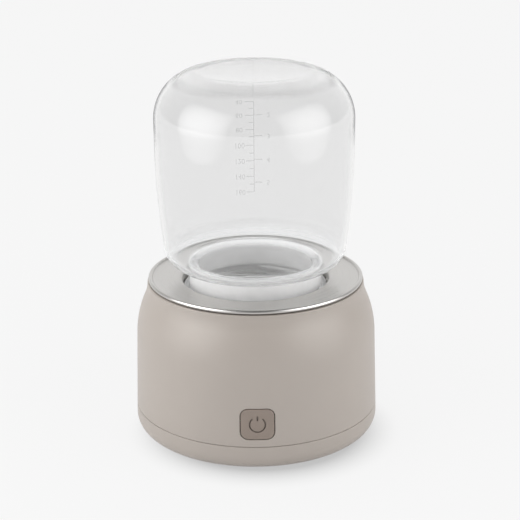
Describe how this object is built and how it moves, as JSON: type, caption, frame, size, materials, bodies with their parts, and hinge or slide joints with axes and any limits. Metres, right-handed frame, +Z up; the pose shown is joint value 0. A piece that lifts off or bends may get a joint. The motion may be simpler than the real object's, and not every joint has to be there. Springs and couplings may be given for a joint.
{
  "type": "portable bottle warmer",
  "caption": "Portable bottle warmer: round matte body with a steel heating cup and a power button, holding an upside-down glass bottle screwed into a lift-out thread collar.",
  "frame": {"origin": "on the surface that it stands on, under the middle of the body", "axes": "+Z up along the bottle's axis, the power button faces -Y, the charging inlet faces +Y"},
  "size_m": [0.0878, 0.0878, 0.1323],
  "materials": {
    "body_plastic": "fine matte texture, warm grey",
    "button_plastic": "fine matte texture, darker warm grey",
    "symbol_plastic": "smooth light guide",
    "cup_steel": "fine concentric brushing",
    "bottle_glass": "clear",
    "collar_plastic": "moulded, satin",
    "pale_silicone": "soft, matte",
    "dark_silicone": "soft, matte",
    "fastener_steel": "zinc plated",
    "heater_foil": "amber film over a metal track",
    "insulation_felt": "pressed fibre",
    "clamp_plate": "rolled sheet",
    "black_plastic": "moulded",
    "frame_plastic": "moulded",
    "circuit_board": "lacquered laminate",
    "capacitor_sleeve": "shrink sleeve",
    "plug_plastic": "moulded",
    "cell_can": null,
    "nickel_strip": "nickel strip",
    "pad_foam": "closed-cell foam",
    "lead_red": "wire insulation",
    "inlet_steel": "nickel plated",
    "fuse_ceramic": "glazed",
    "led_lens": "clear"
  },
  "bodies": {
    "warmer": {"body_shell": "body_plastic", "base_cover": "body_plastic", "base_seal": "dark_silicone", "base_screws": "fastener_steel", "foot_ring": "dark_silicone", "heating_cup": "cup_steel", "cup_gasket": "dark_silicone", "cup_nuts": "fastener_steel", "heater_film": "heater_foil", "heater_insulation": "insulation_felt", "heater_clamp": "clamp_plate", "clamp_nut": "fastener_steel", "temperature_sensor": "black_plastic", "thermal_fuse": "fuse_ceramic", "heater_leads": "lead_red", "inner_frame": "frame_plastic", "frame_screws": "fastener_steel", "control_board": "circuit_board", "board_screws": "fastener_steel", "control_chip": "black_plastic", "power_inductor": "black_plastic", "power_transistors": "black_plastic", "board_capacitors": "capacitor_sleeve", "battery_plug": "plug_plastic", "battery_tray": "frame_plastic", "battery_cell_front": "cell_can", "battery_cell_rear": "cell_can", "battery_tabs": "nickel_strip", "battery_pad": "pad_foam", "battery_leads": "lead_red", "usb_shell": "inlet_steel", "usb_tongue": "black_plastic", "switch_board": "circuit_board", "switch_body": "black_plastic", "status_leds": "led_lens", "button_lead": "black_plastic"},
    "button": {"button_cap": "button_plastic", "button_icon": "symbol_plastic", "switch_plunger": "black_plastic"},
    "collar": {"thread_collar": "collar_plastic", "collar_seal": "pale_silicone"},
    "seal": {"neck_seal": "pale_silicone"},
    "bottle": {"neck_sleeve": "pale_silicone", "bottle": "bottle_glass"}
  },
  "joints": [
    {"name": "button_press", "type": "slide", "parent": "warmer", "child": "button", "axis": [0, 1, 0], "range_m": [0, 0.0008], "stiffness_N_per_m": 2000},
    {"name": "collar_lift", "type": "slide", "parent": "warmer", "child": "collar", "axis": [0, 0, 1], "range_m": [0, 0.04]},
    {"name": "bottle_rise", "type": "slide", "parent": "collar", "child": "seal", "axis": [0, 0, 1], "range_m": [0, 0.007]},
    {"name": "bottle_turn", "type": "hinge", "parent": "seal", "child": "bottle", "pos_m": [0, 0, 0.04735], "axis": [0, 0, 1], "range_deg": [0, 360]}
  ],
  "couplings": [
    {"joint": "bottle_rise", "follows": "bottle_turn", "m_per_rad": 0.0011141}
  ]
}
